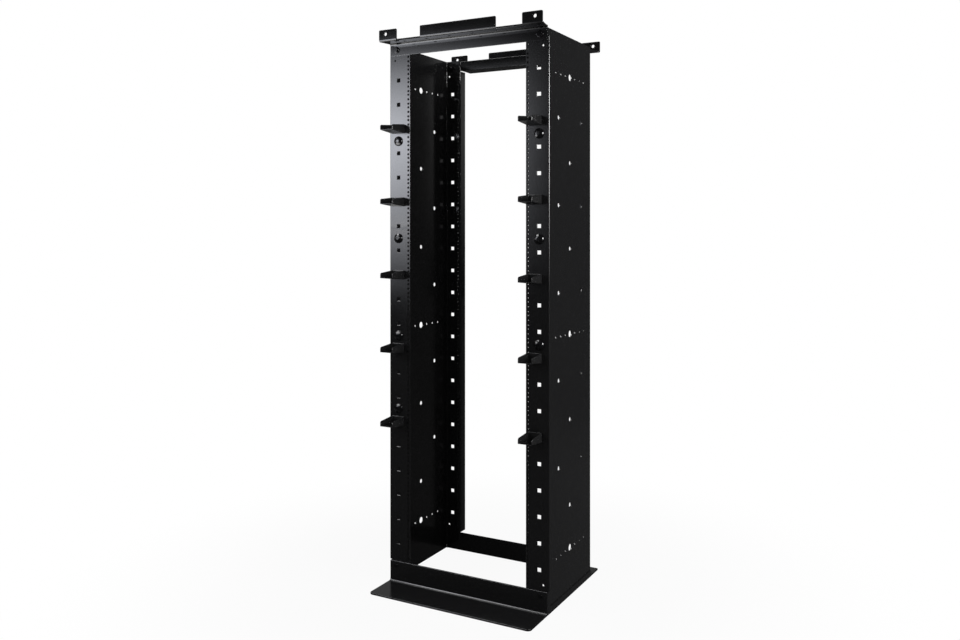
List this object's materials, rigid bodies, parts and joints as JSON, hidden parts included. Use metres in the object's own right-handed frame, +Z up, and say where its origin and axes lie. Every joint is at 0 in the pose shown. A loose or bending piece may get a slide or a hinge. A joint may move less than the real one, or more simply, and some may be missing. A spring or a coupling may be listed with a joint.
{
  "type": "four post open frame rack",
  "caption": "Open frame equipment rack: two deep folded channels with perforated flanges on angle bases, tabbed top angles and cable fingers along the front.",
  "frame": {"origin": "on the floor, under the middle of the rack's outline", "axes": "+Z up along the posts, front towards -Y, +X to the right of someone facing the front"},
  "size_m": [0.628, 0.59, 1.946],
  "materials": {
    "powder_coat": "satin",
    "finger_black": "satin",
    "bolt_black": "gloss"
  },
  "bodies": {
    "root": {"left_side_channel": "powder_coat", "right_side_channel": "powder_coat", "front_base_angle": "powder_coat", "rear_base_angle": "powder_coat", "left_base_rail": "powder_coat", "right_base_rail": "powder_coat", "front_top_angle": "powder_coat", "rear_top_angle": "powder_coat", "left_cable_finger_1": "finger_black", "left_cable_finger_2": "finger_black", "left_cable_finger_3": "finger_black", "left_cable_finger_4": "finger_black", "left_cable_finger_5": "finger_black", "right_cable_finger_1": "finger_black", "right_cable_finger_2": "finger_black", "right_cable_finger_3": "finger_black", "right_cable_finger_4": "finger_black", "right_cable_finger_5": "finger_black", "left_flange_bolt_1": "bolt_black", "left_flange_bolt_2": "bolt_black", "left_flange_bolt_3": "bolt_black", "left_flange_bolt_4": "bolt_black", "right_flange_bolt_1": "bolt_black", "right_flange_bolt_2": "bolt_black", "right_flange_bolt_3": "bolt_black", "front_left_top_bolt": "bolt_black", "front_right_top_bolt": "bolt_black", "rear_left_top_bolt": "bolt_black", "rear_right_top_bolt": "bolt_black"}
  },
  "joints": []
}
